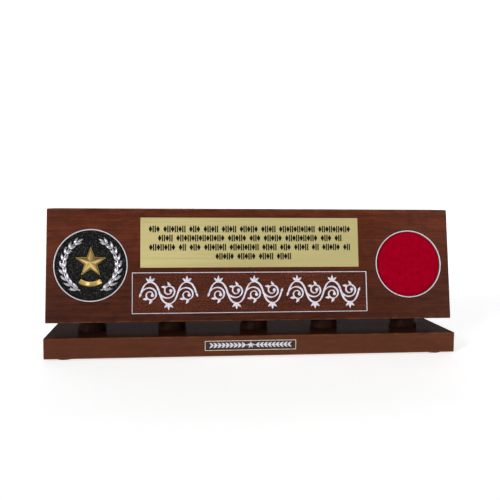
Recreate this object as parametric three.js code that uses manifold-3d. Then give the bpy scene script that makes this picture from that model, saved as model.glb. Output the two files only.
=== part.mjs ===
// A desk presentation plaque: a sloping mahogany block with pockets in its top, standing on five
// round pegs above a flat base board. A medallion, an engraved brass plate, a carved and painted
// ornament panel and a felt-floored coin recess are set in the sloping face, and a small label is
// set in the front of the base.
//
// Millimetres. +X runs to the viewer's right, -Y faces the viewer, +Z is up. The origin is on the
// table, under the middle of the base board.

import * as THREE from "three";
import { mergeVertices } from "three/addons/utils/BufferGeometryUtils.js";
import Module from "manifold-3d";

const wasm = await Module();
wasm.setup();

// ---- Driving dimensions ----

const length = 440;
const fit = 0.15;

const footRadius = 9;
const footHeight = 1.5;
const footInsetX = 20;
const footInsetY = 13;

const baseDepth = 96;
const baseHeight = 22;

const pegRadius = 15.5;
const pegHeight = 13.5;
const pegY = -1.5;
const pegCentresX = [-175.2, -88, 3.3, 83.4, 176.7];
const pegEdge = 0.6;

const blockFrontY = -36.5;
const blockBackY = 33.5;
const blockHeight = 120;
const faceTilt = THREE.MathUtils.degToRad(9.5);
const edgeRadius = 1.6;
const edgeBevel = 0.9;

const penRadius = 6.5;
const penDepth = 30;
const penX = -78.7;
const packPocket = { x: 0.7, width: 57, across: 24, depth: 11 };
const lighterPocket = { x: 77.4, width: 40.5, across: 14.5, depth: 11 };

const roundX = 173.6;
const roundUp = 61;
const medallionRadius = 38.1;
const coinRadius = 36.8;
const ringWidth = 1.1;
const ringSeat = 1.2;
const ringProud = 0.35;
const medallionDepth = 4;
const medallionFace = -1;
const coinDepth = 4.6;
const feltThickness = 1;

const brassWidth = 238;
const brassHeight = 54;
const brassThickness = 0.8;
const brassX = -2.5;
const brassUp = 85;

const nameWidth = 255;
const nameHeight = 43.3;
const nameX = -2.5;
const nameUp = 31;
const nameLine = 0.85;
const nameFloor = 1.2;
const nameSeat = 1.7;
const nameProud = 0.25;

const labelWidth = 98;
const labelHeight = 11;
const labelX = -5;
const labelZ = 13;
const labelLine = 0.7;
const labelRecess = 1.2;
const labelThickness = 0.6;

const screwShank = 2.1;
const screwHead = 4.4;
const screwTopZ = 60;
const screwGap = 0.4;

// ---- Places worked out from them ----

const baseTopZ = footHeight + baseHeight;
const blockBottomZ = baseTopZ + pegHeight;
const blockTopZ = blockBottomZ + blockHeight;
const baseFrontY = -baseDepth / 2;
const blockTopFrontY = blockFrontY + blockHeight * Math.tan(faceTilt);
const pocketY = (blockTopFrontY + blockBackY) / 2;

// ---- Materials ----

const mahogany = new THREE.MeshStandardMaterial({ color: 0x54301f, roughness: 0.35 });
const darkWood = new THREE.MeshStandardMaterial({ color: 0x3a241c, roughness: 0.4 });
const brass = new THREE.MeshStandardMaterial({ color: 0xc5b871, roughness: 0.4, metalness: 0.8 });
const gold = new THREE.MeshStandardMaterial({ color: 0xc0a050, roughness: 0.35, metalness: 0.9 });
const silver = new THREE.MeshStandardMaterial({ color: 0xb4b4b8, roughness: 0.4, metalness: 0.9 });
const black = new THREE.MeshStandardMaterial({ color: 0x1d1d1b, roughness: 0.6 });
const whitePaint = new THREE.MeshStandardMaterial({ color: 0xe0dde6, roughness: 0.5 });
const cream = new THREE.MeshStandardMaterial({ color: 0xd8cfb4, roughness: 0.5 });
const redFelt = new THREE.MeshStandardMaterial({ color: 0x9a0221, roughness: 0.95 });
const footFelt = new THREE.MeshStandardMaterial({ color: 0x1c1c1c, roughness: 1 });
const steel = new THREE.MeshStandardMaterial({ color: 0xa8aaad, roughness: 0.35, metalness: 1 });

// ---- Solids ----

// A closed three.js geometry as a solid that can be joined and cut.
function solid(geometry) {
  const bare = geometry.clone();
  bare.deleteAttribute("normal");
  bare.deleteAttribute("uv");
  const merged = mergeVertices(bare);
  return new wasm.Manifold(
    new wasm.Mesh({
      numProp: 3,
      vertProperties: merged.attributes.position.array,
      triVerts: new Uint32Array(merged.index.array),
    }),
  );
}

function geometryOf(shape) {
  const mesh = shape.getMesh();
  const geometry = new THREE.BufferGeometry();
  geometry.setAttribute("position", new THREE.BufferAttribute(mesh.vertProperties, 3));
  geometry.setIndex(new THREE.BufferAttribute(mesh.triVerts, 1));
  geometry.computeVertexNormals();
  return geometry;
}

function joined(geometries) {
  return geometries.map(solid).reduce((all, next) => all.add(next));
}

// A flat outline raised from z = bottom to z = top.
function raised(outline, bottom, top, curveSegments = 6) {
  const options = { depth: top - bottom, bevelEnabled: false, curveSegments };
  return new THREE.ExtrudeGeometry(outline, options).translate(0, 0, bottom);
}

function boxAt(width, height, depth, x, y, z) {
  return new THREE.BoxGeometry(width, height, depth).translate(x, y, z);
}

function rectangle(width, height) {
  const shape = new THREE.Shape();
  shape.moveTo(-width / 2, -height / 2);
  shape.lineTo(width / 2, -height / 2);
  shape.lineTo(width / 2, height / 2);
  shape.lineTo(-width / 2, height / 2);
  shape.closePath();
  return shape;
}

// A rectangular line: its outer size, less the same rectangle drawn in by the line's width.
function rectangleLine(width, height, line) {
  const shape = rectangle(width, height);
  shape.holes.push(rectangle(width - 2 * line, height - 2 * line));
  return shape;
}

// A solid of revolution about Z from a closed profile of [radius, height] points.
function turned(profile, segments) {
  const points = profile.map(([radius, height]) => new THREE.Vector2(radius, height));
  return new THREE.LatheGeometry(points, segments).rotateX(Math.PI / 2);
}

// An outline given as [y, z] corners, with its corners rounded, run along X with bevelled ends.
function moulding(corners, run) {
  const outline = new THREE.Shape();
  corners.forEach((corner, i) => {
    const here = new THREE.Vector2(...corner);
    const before = new THREE.Vector2(...corners.at(i - 1));
    const after = new THREE.Vector2(...corners[(i + 1) % corners.length]);
    const start = here.clone().lerp(before, edgeRadius / here.distanceTo(before));
    const end = here.clone().lerp(after, edgeRadius / here.distanceTo(after));
    if (i === 0) {
      outline.moveTo(start.x, start.y);
    } else {
      outline.lineTo(start.x, start.y);
    }
    outline.quadraticCurveTo(here.x, here.y, end.x, end.y);
  });
  outline.closePath();
  const geometry = new THREE.ExtrudeGeometry(outline, {
    depth: run - 2 * edgeBevel,
    bevelThickness: edgeBevel,
    bevelSize: edgeBevel,
    bevelOffset: -edgeBevel,
    bevelSegments: 2,
    curveSegments: 3,
  });
  const alongX = new THREE.Matrix4().makeBasis(
    new THREE.Vector3(0, 1, 0),
    new THREE.Vector3(0, 0, 1),
    new THREE.Vector3(1, 0, 0),
  );
  return geometry.applyMatrix4(alongX).translate(edgeBevel - run / 2, 0, 0);
}

// A flat stroke that follows a centre line, with a width that changes along it.
function stroke(centreLine, widthAt, steps) {
  const left = [];
  const right = [];
  for (let i = 0; i <= steps; i += 1) {
    const t = i / steps;
    const point = centreLine.getPoint(t);
    const tangent = centreLine.getTangent(t);
    const across = new THREE.Vector2(-tangent.y, tangent.x).multiplyScalar(widthAt(t) / 2);
    left.push(point.clone().add(across));
    right.unshift(point.clone().sub(across));
  }
  return new THREE.Shape([...left, ...right]);
}

// A pointed leaf that starts at (x, y) and grows along an angle.
function leaf(x, y, angle, size, width) {
  const tip = new THREE.Vector2(Math.cos(angle), Math.sin(angle));
  const side = new THREE.Vector2(-tip.y, tip.x);
  const at = (along, across) => [
    x + tip.x * size * along + side.x * width * across,
    y + tip.y * size * along + side.y * width * across,
  ];
  const shape = new THREE.Shape();
  shape.moveTo(...at(0, 0));
  shape.quadraticCurveTo(...at(0.4, 1), ...at(1, 0));
  shape.quadraticCurveTo(...at(0.4, -1), ...at(0, 0));
  return shape;
}

function starShape(outer, inner) {
  const points = [];
  for (let i = 0; i < 10; i += 1) {
    const radius = i % 2 === 0 ? outer : inner;
    const angle = Math.PI / 2 + (i * Math.PI) / 5;
    points.push(new THREE.Vector2(radius * Math.cos(angle), radius * Math.sin(angle)));
  }
  return new THREE.Shape(points);
}

// ---- Assembly ----

const plaque = new THREE.Group();

// Lies in the sloping face: x to the right, y up the slope from its lower edge, z out of it.
const face = new THREE.Group();
face.position.set(0, blockFrontY, blockBottomZ);
face.rotation.x = Math.PI / 2 - faceTilt;
plaque.add(face);

// Stands in the base's front: x to the right, y up, z towards the viewer.
const baseFront = new THREE.Group();
baseFront.position.set(labelX, baseFrontY, labelZ);
baseFront.rotation.x = Math.PI / 2;
plaque.add(baseFront);

face.updateMatrixWorld(true);
baseFront.updateMatrixWorld(true);

function add(parent, name, geometry, material, x = 0, y = 0, z = 0) {
  const mesh = new THREE.Mesh(geometry, material);
  mesh.name = name;
  mesh.position.set(x, y, z);
  parent.add(mesh);
  return mesh;
}

// A cutter given in a group's own frame, moved to where it cuts.
function cutterIn(group, geometry) {
  return solid(geometry.applyMatrix4(group.matrix));
}

// ---- Base board ----

function baseBoard() {
  const half = baseDepth / 2;
  const corners = [
    [-half, footHeight],
    [half, footHeight],
    [half, baseTopZ],
    [-half, baseTopZ],
  ];
  let board = solid(moulding(corners, length));
  const hole = turned(
    [
      [0, footHeight - 1],
      [screwHead + 0.6, footHeight - 1],
      [screwHead + 0.6, footHeight + 1],
      [screwShank + screwGap, footHeight + 3.3],
      [screwShank + screwGap, baseTopZ + 1],
      [0, baseTopZ + 1],
    ],
    20,
  );
  for (const x of pegCentresX) {
    board = board.subtract(solid(hole.clone().translate(x, pegY, 0)));
  }
  const recess = raised(rectangle(labelWidth + 2 * fit, labelHeight + 2 * fit), -labelRecess, 1);
  return board.subtract(cutterIn(baseFront, recess));
}

add(plaque, "base_board", geometryOf(baseBoard()), mahogany);

for (let i = 0; i < 4; i += 1) {
  const x = (i % 2 === 0 ? -1 : 1) * (length / 2 - footInsetX);
  const y = (i < 2 ? -1 : 1) * (baseDepth / 2 - footInsetY);
  const foot = turned(
    [
      [0, 0],
      [footRadius, 0],
      [footRadius, footHeight],
      [0, footHeight],
    ],
    20,
  );
  add(plaque, `felt_foot_${i + 1}`, foot, footFelt, x, y);
}

// ---- Pegs and the screws through them ----

const pegProfile = [
  [screwShank + screwGap, 0],
  [pegRadius - pegEdge, 0],
  [pegRadius, pegEdge],
  [pegRadius, pegHeight - pegEdge],
  [pegRadius - pegEdge, pegHeight],
  [screwShank + screwGap, pegHeight],
  [screwShank + screwGap, 0],
];

const screwProfile = [
  [0, footHeight + 0.4],
  [screwHead, footHeight + 0.4],
  [screwHead, footHeight + 0.7],
  [screwShank, footHeight + 3],
  [screwShank, screwTopZ - 5],
  [0, screwTopZ],
];

function screw() {
  const driveDepth = 2;
  const driveZ = footHeight + 0.4;
  const body = solid(turned(screwProfile, 24));
  const slotX = solid(boxAt(4.6, 1, driveDepth, 0, 0, driveZ));
  const slotY = solid(boxAt(1, 4.6, driveDepth, 0, 0, driveZ));
  return body.subtract(slotX.add(slotY));
}

pegCentresX.forEach((x, i) => {
  add(plaque, `spacer_peg_${i + 1}`, turned(pegProfile, 28), mahogany, x, pegY, baseTopZ);
  add(plaque, `mounting_screw_${i + 1}`, geometryOf(screw()), steel, x, pegY);
});

// ---- Block ----

function roundCut(radius, depth) {
  return turned(
    [
      [0, -depth],
      [radius, -depth],
      [radius, 2],
      [0, 2],
    ],
    48,
  );
}

function block() {
  const corners = [
    [blockFrontY, blockBottomZ],
    [blockBackY, blockBottomZ],
    [blockBackY, blockTopZ],
    [blockTopFrontY, blockTopZ],
  ];
  let wood = solid(moulding(corners, length));

  const pilot = roundCut(screwShank + 0.25, screwTopZ - blockBottomZ + 2).rotateX(Math.PI);
  for (const x of pegCentresX) {
    wood = wood.subtract(solid(pilot.clone().translate(x, pegY, blockBottomZ)));
  }

  const penBore = roundCut(penRadius, penDepth).translate(penX, pocketY, blockTopZ);
  wood = wood.subtract(solid(penBore));
  for (const pocket of [packPocket, lighterPocket]) {
    const tall = pocket.depth + 2;
    const middle = blockTopZ - pocket.depth + tall / 2;
    const cut = boxAt(pocket.width, pocket.across, tall, pocket.x, pocketY, middle);
    wood = wood.subtract(solid(cut));
  }

  const roundPlaces = [
    [-roundX, medallionRadius, medallionDepth],
    [roundX, coinRadius, coinDepth],
  ];
  for (const [x, radius, depth] of roundPlaces) {
    const well = roundCut(radius - ringWidth / 2 - fit, depth).translate(x, roundUp, 0);
    const groove = roundCut(radius + ringWidth / 2 + fit, ringSeat).translate(x, roundUp, 0);
    wood = wood.subtract(cutterIn(face, well)).subtract(cutterIn(face, groove));
  }

  const outerWidth = nameWidth + nameLine + 2 * fit;
  const outerHeight = nameHeight + nameLine + 2 * fit;
  const frameSeat = raised(rectangleLine(outerWidth, outerHeight, nameLine + 2 * fit), -nameSeat, 2);
  const panelFloor = raised(rectangle(outerWidth, outerHeight), -nameFloor, 2);
  for (const cut of [frameSeat, panelFloor]) {
    wood = wood.subtract(cutterIn(face, cut.translate(nameX, nameUp, 0)));
  }
  return wood;
}

add(plaque, "wedge_block", geometryOf(block()), mahogany);

// ---- Rings of the two round places ----

function ring(radius) {
  const inner = radius - ringWidth / 2;
  const outer = radius + ringWidth / 2;
  const shoulder = 0.3;
  const bottom = fit - ringSeat;
  return turned(
    [
      [inner, bottom],
      [outer, bottom],
      [outer, ringProud - shoulder],
      [outer - shoulder, ringProud],
      [inner + shoulder, ringProud],
      [inner, ringProud - shoulder],
      [inner, bottom],
    ],
    48,
  );
}

add(face, "medallion_rim", ring(medallionRadius), whitePaint, -roundX, roundUp);
add(face, "coin_rim", ring(coinRadius), whitePaint, roundX, roundUp);

// ---- Medallion ----

const medallion = new THREE.Group();
medallion.position.set(-roundX, roundUp, medallionFace);
face.add(medallion);

const discRadius = medallionRadius - ringWidth / 2 - 2 * fit;
const discBack = fit - medallionDepth - medallionFace;
const discProfile = [
  [0, discBack],
  [discRadius, discBack],
  [discRadius, -0.4],
  [discRadius - 0.4, 0],
  [0, 0],
];
add(medallion, "medallion_disc", turned(discProfile, 48), black);

// A five-pointed star, with a ridge from its middle to each point and a valley between.
function ridgedStar(outer, inner, edge, crown) {
  const points = starShape(outer, inner).getPoints();
  const at = (point, z) => new THREE.Vector3(point.x, point.y, z);
  const middle = new THREE.Vector2();
  const vertices = [];
  for (let i = 0; i < points.length; i += 1) {
    const a = points[i];
    const b = points[(i + 1) % points.length];
    vertices.push(at(middle, crown), at(a, edge), at(b, edge));
    vertices.push(at(a, edge), at(a, 0), at(b, edge));
    vertices.push(at(b, edge), at(a, 0), at(b, 0));
    vertices.push(at(middle, 0), at(b, 0), at(a, 0));
  }
  const geometry = new THREE.BufferGeometry().setFromPoints(vertices);
  geometry.computeVertexNormals();
  return geometry;
}

add(medallion, "medallion_star", ridgedStar(17, 7, 0.9, 3.6), gold, 0, 3, fit);

// Half of a laurel wreath: a bent stem with leaves on both sides of it.
function wreathHalf() {
  const radius = 28.5;
  const startAngle = THREE.MathUtils.degToRad(-68);
  const endAngle = THREE.MathUtils.degToRad(62);
  const pairs = 8;
  const stemLine = new THREE.EllipseCurve(0, 0, radius, radius, startAngle, endAngle);
  const stem = stroke(stemLine, (t) => 1.6 - 0.8 * t, 16);
  const top = 1.4;
  const pieces = [raised(stem, 0, top)];
  for (let i = 0; i < pairs; i += 1) {
    const t = (i + 0.5) / pairs;
    const angle = startAngle + t * (endAngle - startAngle);
    const along = angle + Math.PI / 2;
    const size = 10 - 2.4 * t;
    for (const lean of [-0.62, 0.62]) {
      const x = (radius - 0.2) * Math.cos(angle);
      const y = (radius - 0.2) * Math.sin(angle);
      pieces.push(raised(leaf(x, y, along + lean, size, 3.2), 0, top, 3));
    }
  }
  const tipAngle = endAngle - 0.06;
  const tipX = radius * Math.cos(tipAngle);
  const tipY = radius * Math.sin(tipAngle);
  pieces.push(raised(leaf(tipX, tipY, tipAngle + Math.PI / 2, 7, 3), 0, top, 3));
  return geometryOf(joined(pieces));
}

add(medallion, "medallion_wreath_right", wreathHalf(), silver, 0, 0, fit);
const leftHalf = add(medallion, "medallion_wreath_left", wreathHalf(), silver, 0, 0, fit);
leftHalf.scale.x = -1;

// A ribbon that hangs in an arc across the foot of the wreath, with a notched end on each side.
function ribbon() {
  const radius = 22.8;
  const half = THREE.MathUtils.degToRad(35);
  const band = 5.6;
  const middle = -Math.PI / 2;
  const shape = new THREE.Shape();
  shape.absarc(0, 0, radius, middle - half, middle + half, false);
  const tail = middle + half;
  const centre = radius - band / 2;
  shape.lineTo(centre * Math.cos(tail - 0.1), centre * Math.sin(tail - 0.1));
  shape.lineTo((radius - band) * Math.cos(tail), (radius - band) * Math.sin(tail));
  shape.absarc(0, 0, radius - band, tail, middle - half, true);
  const start = middle - half;
  shape.lineTo(centre * Math.cos(start + 0.1), centre * Math.sin(start + 0.1));
  shape.closePath();
  return raised(shape, 0, 1.6, 14);
}

add(medallion, "medallion_ribbon", ribbon(), gold, 0, 0, fit);

// ---- Coin recess ----

const feltRadius = coinRadius - ringWidth / 2 - 3 * fit;
const feltBottom = fit - coinDepth;
const feltProfile = [
  [0, feltBottom],
  [feltRadius, feltBottom],
  [feltRadius, feltBottom + feltThickness],
  [0, feltBottom + feltThickness],
];
add(face, "coin_felt", turned(feltProfile, 48), redFelt, roundX, roundUp);

// ---- Brass plate ----

function brassPlate() {
  const edge = 0.2;
  const geometry = new THREE.ExtrudeGeometry(rectangle(brassWidth, brassHeight), {
    depth: brassThickness - edge,
    bevelThickness: edge / 2,
    bevelSize: edge,
    bevelOffset: -edge,
    bevelSegments: 1,
  });
  return geometry.translate(0, 0, fit + edge / 2);
}

add(face, "brass_plate", brassPlate(), brass, brassX, brassUp);

// ---- Ornament panel ----

const frameShape = rectangleLine(nameWidth + nameLine, nameHeight + nameLine, nameLine);
add(face, "name_frame", raised(frameShape, fit - nameSeat, nameProud), whitePaint, nameX, nameUp);

// The centre line of a scroll that leaves the stem at the left of a wave and winds in to its eye.
// side is 1 where the scroll fills an upward wave of the stem and -1 where it fills a downward one.
function scroll(middleX, side) {
  const outer = 7.9;
  const eye = 2.3;
  const flare = 2.4;
  const drop = 2;
  const turns = 1.5;
  const steps = 30;
  const points = [];
  for (let i = 0; i <= steps; i += 1) {
    const t = i / steps;
    const radius = eye + (outer - eye) * (1 - t) + flare * Math.exp(-14 * t);
    const angle = Math.PI * 0.94 - t * turns * 2 * Math.PI;
    const x = middleX + radius * Math.cos(angle);
    const y = side * (radius * Math.sin(angle) - drop);
    points.push(new THREE.Vector2(x, y));
  }
  return new THREE.SplineCurve(points);
}

// The width of a stroke drawn with a broad pen: widest where it runs across the pen's edge.
function penWidth(line, tangent) {
  const penAngle = THREE.MathUtils.degToRad(25);
  return line * (0.72 + 0.5 * Math.abs(Math.sin(tangent.angle() - penAngle)));
}

// Scrollwork: a stem that waves in rounded arches, with a spiral inside each arch, a fan of
// leaves outside each crest, leaves on the foot of each spiral, and a bud at each end.
function scrollwork(width, waves) {
  const swing = 11.5;
  const bulge = 1.3;
  const line = 2.2;
  const top = nameProud + nameFloor - fit;
  const wave = width / waves;
  const stemSteps = waves * 8;
  const stemPoints = [];
  for (let i = 0; i <= stemSteps; i += 1) {
    const turn = (i / stemSteps) * waves * Math.PI;
    const x = width * (i / stemSteps - 0.5) - bulge * Math.sin(2 * turn);
    stemPoints.push(new THREE.Vector2(x, swing * Math.sin(turn)));
  }
  const pieces = [];
  const draw = (curve, taper, steps) => {
    const widthAt = (t) => penWidth(line * (1 - taper * t), curve.getTangent(t));
    pieces.push(raised(stroke(curve, widthAt, steps), 0, top));
  };
  const grow = (x, y, angle, size, half) => {
    pieces.push(raised(leaf(x, y, angle, size, half), 0, top, 2));
  };
  draw(new THREE.SplineCurve(stemPoints), 0, stemSteps);
  for (let i = 0; i < waves; i += 1) {
    const side = i % 2 === 0 ? 1 : -1;
    const middleX = wave * (i + 0.5) - width / 2;
    const curl = scroll(middleX, side);
    draw(curl, 0.3, 26);
    const eye = curl.getPoint(1);
    const dot = new THREE.Shape();
    dot.absarc(eye.x, eye.y, 1.8, 0, 2 * Math.PI, false);
    pieces.push(raised(dot, 0, top, 4));
    for (const lean of [-0.85, 0, 0.85]) {
      grow(middleX, side * swing, side * (Math.PI / 2 + lean), lean === 0 ? 7 : 6.6, 2.3);
    }
    for (const share of [0.44, 0.54]) {
      const root = curl.getPoint(share);
      const heading = curl.getTangent(share).angle() + side * 0.75;
      grow(root.x, root.y, heading, 5.8, 2.3);
    }
  }
  const lastSide = waves % 2 === 0 ? 1 : -1;
  grow(0.3 - width / 2, 0.3, Math.PI + 1.2, 5, 2.2);
  grow(width / 2 - 0.3, -lastSide * 0.3, lastSide * 1.2, 5, 2.2);
  return geometryOf(joined(pieces));
}

const ornaments = [
  ["name_ornament_left", -91.5, 58.5, 3],
  ["name_ornament_centre", -9, 78, 4],
  ["name_ornament_right", 77, 78, 4],
];
for (const [name, x, width, waves] of ornaments) {
  add(face, name, scrollwork(width, waves), whitePaint, x, nameUp, fit - nameFloor);
}

// ---- Base label ----

const labelFloor = fit - labelRecess;
const labelTop = labelFloor + labelThickness;
const labelPlate = raised(rectangle(labelWidth, labelHeight), labelFloor, labelTop);
add(baseFront, "label_plate", labelPlate, darkWood);

const borderShape = rectangleLine(labelWidth - 0.4, labelHeight - 0.4, labelLine);
add(baseFront, "label_border", raised(borderShape, labelTop, labelTop + 0.35), cream);

// A star in the middle of a straight laurel branch that runs out to both sides.
function labelOrnament() {
  const reach = 42;
  const pairs = 9;
  const leafSize = 4.8;
  const top = 0.4;
  const pieces = [raised(starShape(3.9, 1.6), 0, top)];
  pieces.push(boxAt(2 * reach, 0.7, top, 0, 0, top / 2));
  for (const side of [-1, 1]) {
    for (let i = 0; i < pairs; i += 1) {
      const x = side * (6 + (i * (reach - 8)) / (pairs - 1));
      for (const lean of [-0.62, 0.62]) {
        const angle = side > 0 ? lean : Math.PI - lean;
        pieces.push(raised(leaf(x, 0, angle, leafSize, 1.7), 0, top, 2));
      }
    }
  }
  return geometryOf(joined(pieces));
}

add(baseFront, "label_ornament", labelOrnament(), whitePaint, 0, 0, labelTop);

export default plaque;
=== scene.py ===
"""Looks for the desk presentation plaque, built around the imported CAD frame.

Metres. +X runs to the viewer's right, -Y faces the viewer, +Z is up, and the floor is z = 0.
Whatever is set in the sloping face is made in the face's own directions (across, up the slope,
out of the face) and then placed at the middle of the CAD piece that it stands for.
"""

import math
import random

import bmesh
import bpy
import numpy as np
from mathutils import Matrix, Vector, noise


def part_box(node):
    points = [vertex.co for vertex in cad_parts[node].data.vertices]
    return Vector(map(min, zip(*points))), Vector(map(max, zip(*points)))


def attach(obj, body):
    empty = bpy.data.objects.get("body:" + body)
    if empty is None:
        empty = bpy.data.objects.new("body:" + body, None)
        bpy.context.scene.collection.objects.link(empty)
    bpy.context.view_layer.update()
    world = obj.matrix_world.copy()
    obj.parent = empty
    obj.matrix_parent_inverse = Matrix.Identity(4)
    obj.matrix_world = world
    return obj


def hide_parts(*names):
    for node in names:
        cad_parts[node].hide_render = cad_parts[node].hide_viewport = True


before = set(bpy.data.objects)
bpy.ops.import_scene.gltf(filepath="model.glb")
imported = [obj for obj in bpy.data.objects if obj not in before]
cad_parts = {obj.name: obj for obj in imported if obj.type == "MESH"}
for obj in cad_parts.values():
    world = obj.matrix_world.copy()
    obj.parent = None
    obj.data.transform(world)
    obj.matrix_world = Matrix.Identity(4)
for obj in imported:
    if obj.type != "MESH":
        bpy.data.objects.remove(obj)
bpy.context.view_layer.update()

MM = 0.001
FACE_TILT = math.radians(9.5)
PROUD_OF_FACE = 0.25 * MM
PEGS = 5
FEET = 4


# ---------------------------------------------------------------------------------------------
# Camera, light and floor
# ---------------------------------------------------------------------------------------------

def make_camera():
    """A 50 mm lens a little left of the middle, looking slightly down and to the right."""
    data = bpy.data.cameras.new("camera")
    data.lens = 50.0
    data.sensor_width = 36.0
    camera = bpy.data.objects.new("camera", data)
    bpy.context.scene.collection.objects.link(camera)
    turn_right, look_down, roll = math.radians(6.43), math.radians(3.97), math.radians(0.31)
    place = Matrix.Translation((-0.0881, -0.7725, 0.1650))
    pan = Matrix.Rotation(-turn_right, 4, "Z")
    pitch = Matrix.Rotation(math.pi / 2 - look_down, 4, "X")
    camera.matrix_world = place @ pan @ pitch @ Matrix.Rotation(roll, 4, "Z")
    bpy.context.scene.camera = camera


def add_light(name, kind, place, power, colour, size):
    """A light at a place, aimed at the middle of the plaque. size is metres, or an angle for a sun."""
    data = bpy.data.lights.new(name, kind)
    data.energy = power
    data.color = colour
    if kind == "SUN":
        data.angle = size
    else:
        data.size = size
    light = bpy.data.objects.new(name, data)
    bpy.context.scene.collection.objects.link(light)
    light.location = place
    aim = Vector((0.0, 0.0, 0.08)) - Vector(place)
    light.rotation_euler = aim.to_track_quat("-Z", "Y").to_euler()


def make_lights():
    """A soft low key from the front left, a weak wide fill from the right, and a dim even sky."""
    add_light("key_light", "SUN", (-1.5, -1.8, 0.62), 2.25, (1.0, 0.985, 0.96), math.radians(14))
    add_light("fill_light", "AREA", (1.7, -2.2, 0.75), 8.5, (0.97, 0.98, 1.0), 1.5)
    world = bpy.data.worlds.new("studio")
    world.use_nodes = True
    background = world.node_tree.nodes["Background"]
    background.inputs["Color"].default_value = (0.94, 0.96, 1.0, 1.0)
    background.inputs["Strength"].default_value = 0.15
    bpy.context.scene.world = world
    bpy.context.scene.view_settings.view_transform = "Standard"


def make_floor():
    """A wide pale sweep: flat under the plaque and curving up far behind it."""
    half_width, front, bend, radius, top = 6.0, -4.0, 3.0, 1.2, 3.5
    curve_steps = 12
    profile = [(front, 0.0), (0.0, 0.0), (bend, 0.0)]
    for i in range(1, curve_steps + 1):
        angle = i / curve_steps * math.pi / 2
        profile.append((bend + radius * math.sin(angle), radius * (1 - math.cos(angle))))
    profile.append((bend + radius, top))
    verts = [(side * half_width, y, z) for y, z in profile for side in (-1, 1)]
    faces = [(2 * i, 2 * i + 1, 2 * i + 3, 2 * i + 2) for i in range(len(profile) - 1)]
    mesh = bpy.data.meshes.new("floor")
    mesh.from_pydata(verts, [], faces)
    mesh.polygons.foreach_set("use_smooth", [True] * len(faces))
    floor = bpy.data.objects.new("floor", mesh)
    bpy.context.scene.collection.objects.link(floor)
    floor.data.materials.append(floor_material())


# ---------------------------------------------------------------------------------------------
# Material helpers
# ---------------------------------------------------------------------------------------------

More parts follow.
